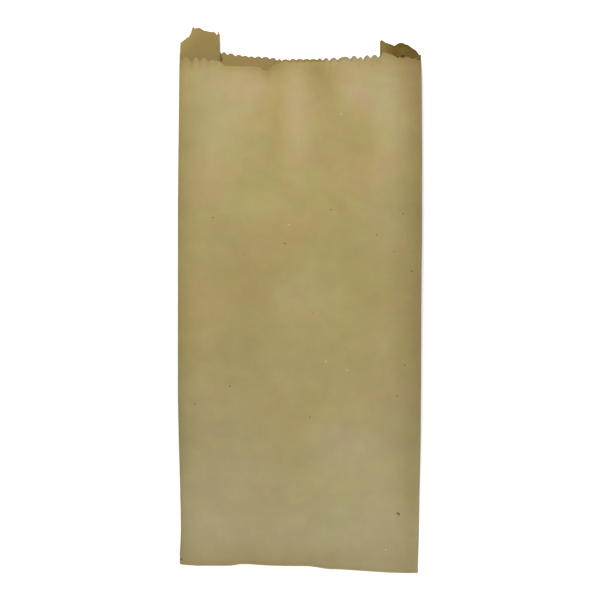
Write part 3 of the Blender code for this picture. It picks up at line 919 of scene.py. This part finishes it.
@dataclass(frozen=True)
class KraftFinish:
    """Matte unbleached kraft paper.

    Args:
        name: The material's name.
        warm: The redder of the tints that the pulp clouds into.
        cool: The greener one.
        pale: The greyer one, towards the bottom of the bag.
        dark_specks_and_gap_shade: The bark specks and nicks that show dark, and painted shade in the gaps
            at the mouth.
        pale_marks: The fibre knots that show pale.
        roughness: How matte the face is.
        gloss: How much light the face throws back as a sheen.
        speck_and_shade_tint: The colour of bark specks, also painted as shade in the gaps at the mouth.
        knot: The colour of a fibre knot.
        level_gap: How far off a ply's own level a mark no longer shows.
        rubbed_and_shaded: What a fold takes off the tint, for worn paper and painted shade.
        tab_shade_and_darkening_tint: What the gusset ends' painted shade and darkening take off the tint.
    """

    name: str
    warm: Colour
    cool: Colour
    pale: Colour
    dark_specks_and_gap_shade: tuple[Mark, ...]
    pale_marks: tuple[Mark, ...]
    roughness: float = 0.9
    gloss: float = 0.10
    # Tint for bark specks, also used as painted shade in the gaps at the mouth.
    speck_and_shade_tint: Colour = (0.070, 0.044, 0.005)
    knot: Colour = (0.60, 0.52, 0.28)
    level_gap: float = 0.01
    # Tint for the folds' wear and painted shade.
    rubbed_and_shaded: Colour = (0.88, 0.88, 0.86)
    # Tint for the gusset ends' painted shade and darkening.
    tab_shade_and_darkening_tint: Colour = (0.42, 0.36, 0.155)

    def build(self) -> bpy.types.Material:
        """Make the material with its clouds, fibres, specks, wear, painted shade and relief.

        Returns:
            The material.
        """
        material = bpy.data.materials.new(self.name)
        material.use_nodes = True
        tree = material.node_tree
        shader = tree.nodes["Principled BSDF"]
        shader.inputs["Roughness"].default_value = self.roughness
        shader.inputs["Specular IOR Level"].default_value = self.gloss
        flat = self.attribute(tree, "flat", "Vector")
        tint = self.clouds(tree, flat)
        tint = self.fibres(tree, flat, tint)
        tint = self.specks(tree, flat, tint)
        tint = self.wear_and_painted_shade(tree, tint)
        tree.links.new(tint, shader.inputs["Base Color"])
        tree.links.new(self.relief(tree, flat), shader.inputs["Normal"])
        return material

    def attribute(self, tree: Tree, name: str, output: str) -> Socket:
        """Read one of the sheet's own attributes.

        Args:
            tree: The material's nodes.
            name: The attribute's name.
            output: Which output gives it.

        Returns:
            The attribute's value.
        """
        node = tree.nodes.new("ShaderNodeAttribute")
        node.attribute_name = name
        return node.outputs[output]

    def noise(self, tree: Tree, where: Socket, stretch: Colour, detail: float) -> Socket:
        """Noise on the flat sheet.

        Args:
            tree: The material's nodes.
            where: The place on the sheet.
            stretch: Swells to the metre along each axis.
            detail: How many finer layers are added.

        Returns:
            The noise's value, from 0 to 1.
        """
        mapping = tree.nodes.new("ShaderNodeMapping")
        mapping.inputs["Scale"].default_value = stretch
        tree.links.new(where, mapping.inputs["Vector"])
        texture = tree.nodes.new("ShaderNodeTexNoise")
        texture.inputs["Scale"].default_value = 1.0
        texture.inputs["Detail"].default_value = detail
        texture.inputs["Roughness"].default_value = 0.55
        tree.links.new(mapping.outputs["Vector"], texture.inputs["Vector"])
        return texture.outputs["Fac"]

    def mixed(
        self, tree: Tree, blend: str, share: Socket | float, first: Socket | Colour, second: Socket | Colour
    ) -> Socket:
        """Mix two colours.

        Args:
            tree: The material's nodes.
            blend: How they mix, such as MIX or MULTIPLY.
            share: The second one's share.
            first: A colour, or the socket it comes from.
            second: A colour, or the socket it comes from.

        Returns:
            The mixed colour.
        """
        node = tree.nodes.new("ShaderNodeMix")
        node.data_type = "RGBA"
        node.blend_type = blend
        for socket, value in ((node.inputs[0], share), (node.inputs[6], first), (node.inputs[7], second)):
            if isinstance(value, bpy.types.NodeSocket):
                tree.links.new(value, socket)
            elif isinstance(value, tuple):
                socket.default_value = (*value, 1.0)
            else:
                socket.default_value = value
        return node.outputs[2]

    def shaded(self, tree: Tree, tint: Socket, **gains: Socket) -> Socket:
        """Multiply a tint by the gains of its channels, Red, Green and Blue.

        Args:
            tree: The material's nodes.
            tint: The tint so far.
            gains: The gain of each channel that changes.

        Returns:
            The new tint.
        """
        factor = tree.nodes.new("ShaderNodeCombineColor")
        for channel in ("Red", "Green", "Blue"):
            if channel in gains:
                tree.links.new(gains[channel], factor.inputs[channel])
            else:
                factor.inputs[channel].default_value = 1.0
        return self.mixed(tree, "MULTIPLY", 1.0, tint, factor.outputs["Color"])

    def clouds(self, tree: Tree, flat: Socket) -> Socket:
        """The uneven tint of the pulp: broad warm and cool patches, and a greyer lower end.

        Args:
            tree: The material's nodes.
            flat: The place on the sheet.

        Returns:
            The clouded tint.
        """
        cloud = ranged(tree, self.noise(tree, flat, (26, 40, 5), 3.0), (0.40, 0.60), (0.0, 1.0))
        tint = self.mixed(tree, "MIX", cloud, self.warm, self.cool)
        split = tree.nodes.new("ShaderNodeSeparateXYZ")
        tree.links.new(flat, split.inputs["Vector"])
        drift = self.noise(tree, flat, (16, 14, 5), 1.5)
        ragged = maths(tree, "ShaderNodeMath", "MULTIPLY_ADD", drift, 0.10, split.outputs["Y"])
        lower = ranged(tree, ragged["Value"], (0.074, 0.172), (1.0, 0.0))
        tint = self.mixed(tree, "MIX", lower, tint, self.pale)
        broad = ranged(tree, self.noise(tree, flat, (34, 50, 5), 3.0), (0.3, 0.7), (0.967, 1.057))
        tint = self.shaded(tree, tint, Red=broad, Green=broad, Blue=broad)
        mottle = ranged(tree, self.noise(tree, flat, (120, 140, 5), 4.0), (0.3, 0.7), (0.975, 1.025))
        green = ranged(tree, self.noise(tree, flat, (105, 95, 5), 4.0), (0.3, 0.7), (0.955, 1.045))
        green = maths(tree, "ShaderNodeMath", "MULTIPLY", mottle, green)["Value"]
        return self.shaded(tree, tint, Red=mottle, Green=green, Blue=mottle)

    def fibres(self, tree: Tree, flat: Socket, tint: Socket) -> Socket:
        """Fine fibres: long faint streaks down the bag, and short ones across it.

        Args:
            tree: The material's nodes.
            flat: The place on the sheet.
            tint: The tint so far.

        Returns:
            The new tint.
        """
        for stretch, low, high in (((1300, 90, 5), 0.985, 1.015), ((160, 1900, 5), 0.99, 1.01)):
            streak = ranged(tree, self.noise(tree, flat, stretch, 2.0), (0.3, 0.7), (low, high))
            tint = self.shaded(tree, tint, Red=streak, Green=streak, Blue=streak)
        return tint

    def spots(self, tree: Tree, flat: Socket, marks: tuple[Mark, ...]) -> Socket:
        """How far a place lies inside the nearest of some marks.

        Args:
            tree: The material's nodes.
            flat: The place on the sheet.
            marks: The marks.

        Returns:
            1 inside a mark, easing off to 0 at its edge.
        """
        nearest = None
        for mark in marks:
            middle = (mark.x, mark.station, mark.ply.apart)
            size = (mark.half_x, mark.half_y, self.level_gap)
            offset = maths(tree, "ShaderNodeVectorMath", "SUBTRACT", flat, middle)["Vector"]
            scaled = maths(tree, "ShaderNodeVectorMath", "DIVIDE", offset, size)["Vector"]
            distance = maths(tree, "ShaderNodeVectorMath", "LENGTH", scaled)["Value"]
            if nearest is not None:
                distance = maths(tree, "ShaderNodeMath", "MINIMUM", nearest, distance)["Value"]
            nearest = distance
        return ranged(tree, nearest, (0.5, 1.2), (0.9, 0.0))

    def specks(self, tree: Tree, flat: Socket, tint: Socket) -> Socket:
        """The larger specks and knots where they lie, the painted shade in the gaps at the mouth, and fine
        specks scattered through the sheet.

        Args:
            tree: The material's nodes.
            flat: The place on the sheet.
            tint: The tint so far.

        Returns:
            The new tint.
        """
        # Dark specks, and painted shade in the gaps at the mouth.
        tint = self.mixed(tree, "MIX", self.spots(tree, flat, self.dark_specks_and_gap_shade), tint, self.speck_and_shade_tint)
        tint = self.mixed(tree, "MIX", self.spots(tree, flat, self.pale_marks), tint, self.knot)
        for scale, size, shade in ((110.0, 0.030, (0.16, 0.12, 0.05)), (130.0, 0.026, (0.55, 0.48, 0.28))):
            cells = tree.nodes.new("ShaderNodeTexVoronoi")
            cells.inputs["Scale"].default_value = scale
            tree.links.new(flat, cells.inputs["Vector"])
            mask = ranged(tree, cells.outputs["Distance"], (size * 0.6, size), (0.35, 0.0))
            tint = self.mixed(tree, "MIX", mask, tint, shade)
        return tint

    def wear_and_painted_shade(self, tree: Tree, tint: Socket) -> Socket:
        """Darker paper along the folds, worn and with painted shade; the darker gusset ends, partly painted
        shade; and the front's lighter and darker patches, mostly painted light and shade.

        Args:
            tree: The material's nodes.
            tint: The tint so far.

        Returns:
            The new tint.
        """
        # Darken the folds, for wear with painted shade, and the gusset ends, partly painted shade.
        for name, shade in (("rub_and_shade", self.rubbed_and_shaded), ("tab_shade_and_darkening", self.tab_shade_and_darkening_tint)):
            tint = self.mixed(tree, "MULTIPLY", self.attribute(tree, name, "Fac"), tint, shade)
        split = tree.nodes.new("ShaderNodeSeparateXYZ")
        tree.links.new(self.attribute(tree, "patch", "Vector"), split.inputs["Vector"])
        # The patch's first part lightens or darkens the front: mostly painted light and shade, with some of
        # the paper's own uneven tone.
        tone = split.outputs["X"]
        darker = ((-0.5, 0.0), (0.5, 1.0), (0.2, 1.0))
        lighter = ((0.0, 0.5), (1.0, 1.5), (1.0, 2.3))
        for span, gain, blue in (darker, lighter):
            even = ranged(tree, tone, span, gain)
            tint = self.shaded(tree, tint, Red=even, Green=even, Blue=ranged(tree, tone, span, blue))
        green = ranged(tree, split.outputs["Y"], (-0.3, 0.3), (1.3, 0.7))
        blue = ranged(tree, split.outputs["Z"], (-0.3, 0.3), (0.7, 1.3))
        return self.shaded(tree, tint, Green=green, Blue=blue)

    def relief(self, tree: Tree, flat: Socket) -> Socket:
        """The paper's fine tooth over its faint cockles.

        Args:
            tree: The material's nodes.
            flat: The place on the sheet.

        Returns:
            The face's direction.
        """
        cockle = tree.nodes.new("ShaderNodeBump")
        cockle.inputs["Strength"].default_value = 0.4
        cockle.inputs["Distance"].default_value = 0.10 * MM
        tree.links.new(self.noise(tree, flat, (150, 110, 5), 2.0), cockle.inputs["Height"])
        tooth = tree.nodes.new("ShaderNodeBump")
        tooth.inputs["Strength"].default_value = 0.35
        tooth.inputs["Distance"].default_value = 0.04 * MM
        tree.links.new(self.noise(tree, flat, (1500, 1100, 5), 3.0), tooth.inputs["Height"])
        tree.links.new(cockle.outputs["Normal"], tooth.inputs["Normal"])
        return tooth.outputs["Normal"]


@dataclass(frozen=True)
class Lamp:
    """A soft square lamp aimed at the bag.

    Args:
        name: Its name.
        place: Where it hangs.
        side: The length of its side.
        power: Its power in watts.
    """

    name: str
    place: tuple[float, float, float]
    side: float
    power: float

    def hang(self) -> None:
        """Hang the lamp and aim it."""
        light = bpy.data.lights.new(self.name, "AREA")
        light.shape = "SQUARE"
        light.size = self.side
        light.energy = self.power
        lamp = bpy.data.objects.new(self.name, light)
        lamp.location = self.place
        lamp.rotation_euler = (-Vector(self.place)).to_track_quat("-Z", "Y").to_euler()
        lamp.visible_camera = False
        bpy.context.scene.collection.objects.link(lamp)


@dataclass
class Studio:
    """The pale table, the soft lamps and the camera above."""

    view_width: float = 320.3 * MM
    camera_height: float = 3.0
    sensor: float = 36.0
    floor_size: float = 8.0
    floor_drop: float = 0.1 * MM
    glow_reach: Span = (0.25, 0.80)
    glow: Span = (0.40, 1.0)
    sky_strength: float = 0.10
    lamps: tuple[Lamp, ...] = (
        Lamp("mouth_lamp", (-0.10, 0.90, 0.90), 0.5, 7.4),
        Lamp("low_mouth_lamp", (-0.14, 0.66, 0.26), 0.3, 5.0),
        Lamp("bottom_lamp", (0.05, -0.70, 0.28), 0.3, 5.2),
    )

    def floor(self) -> bpy.types.Object:
        """A pale table top just under the bag, which shows white with the bag's soft shadow.

        Returns:
            The table top.
        """
        bpy.ops.object.select_all(action="DESELECT")
        bpy.ops.mesh.primitive_plane_add(size=self.floor_size, location=(0.0, 0.0, -self.floor_drop))
        top = bpy.context.object
        top.name = "table_top"
        material = bpy.data.materials.new("pale_table")
        material.use_nodes = True
        tree = material.node_tree
        shader = tree.nodes["Principled BSDF"]
        shader.inputs["Base Color"].default_value = (0.90, 0.90, 0.90, 1.0)
        shader.inputs["Roughness"].default_value = 0.9
        shader.inputs["Specular IOR Level"].default_value = 0.0
        shader.inputs["Emission Color"].default_value = (1.0, 1.0, 1.0, 1.0)
        where = tree.nodes.new("ShaderNodeTexCoord")
        far = maths(tree, "ShaderNodeVectorMath", "LENGTH", where.outputs["Object"])
        ramp = ranged(tree, far["Value"], self.glow_reach, self.glow)
        glow = maths(tree, "ShaderNodeMath", "MULTIPLY", self.seen(tree), ramp)
        tree.links.new(glow["Value"], shader.inputs["Emission Strength"])
        top.data.materials.append(material)
        return top

    def seen(self, tree: Tree) -> Socket:
        """1 for what the camera sees, straight or by reflection, and 0 for what lights the bag.

        Args:
            tree: The material's nodes.

        Returns:
            The value.
        """
        path = tree.nodes.new("ShaderNodeLightPath")
        total = path.outputs["Is Camera Ray"]
        for ray in ("Is Glossy Ray", "Is Transmission Ray"):
            total = maths(tree, "ShaderNodeMath", "MAXIMUM", total, path.outputs[ray])["Value"]
        return total

    def sky(self) -> None:
        """Even pale light from all round, which shows as plain white."""
        world = bpy.data.worlds.new("soft_sky")
        world.use_nodes = True
        tree = world.node_tree
        back = tree.nodes["Background"]
        back.inputs["Color"].default_value = (1.0, 1.0, 1.0, 1.0)
        level = ranged(tree, self.seen(tree), (0.0, 1.0), (self.sky_strength, 1.0))
        tree.links.new(level, back.inputs["Strength"])
        bpy.context.scene.world = world

    def camera(self) -> None:
        """A long lens straight above the bag, with the mouth at the top of the picture."""
        lens = bpy.data.cameras.new("overhead")
        lens.sensor_width = self.sensor
        lens.lens = self.sensor * self.camera_height / self.view_width
        overhead = bpy.data.objects.new("overhead", lens)
        overhead.location = (0.0, 0.0, self.camera_height)
        bpy.context.scene.collection.objects.link(overhead)
        bpy.context.scene.camera = overhead

    def build(self) -> None:
        """Set up the table, the light and the camera."""
        self.floor()
        self.sky()
        for lamp in self.lamps:
            lamp.hang()
        self.camera()
        bpy.context.scene.view_settings.view_transform = "Standard"


def main() -> None:
    """Build the bag and its studio, and report each piece."""
    logging.basicConfig(level=logging.INFO, format="%(name)s: %(message)s")
    Studio().build()
    sheet = PaperBag().build()
    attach(sheet, "root")
    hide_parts("paper_bag")
    triangles = sum(len(face.vertices) - 2 for face in sheet.data.polygons)
    LOG.info("%s: %d triangles", sheet.name, triangles)


if __name__ == "__main__":
    main()
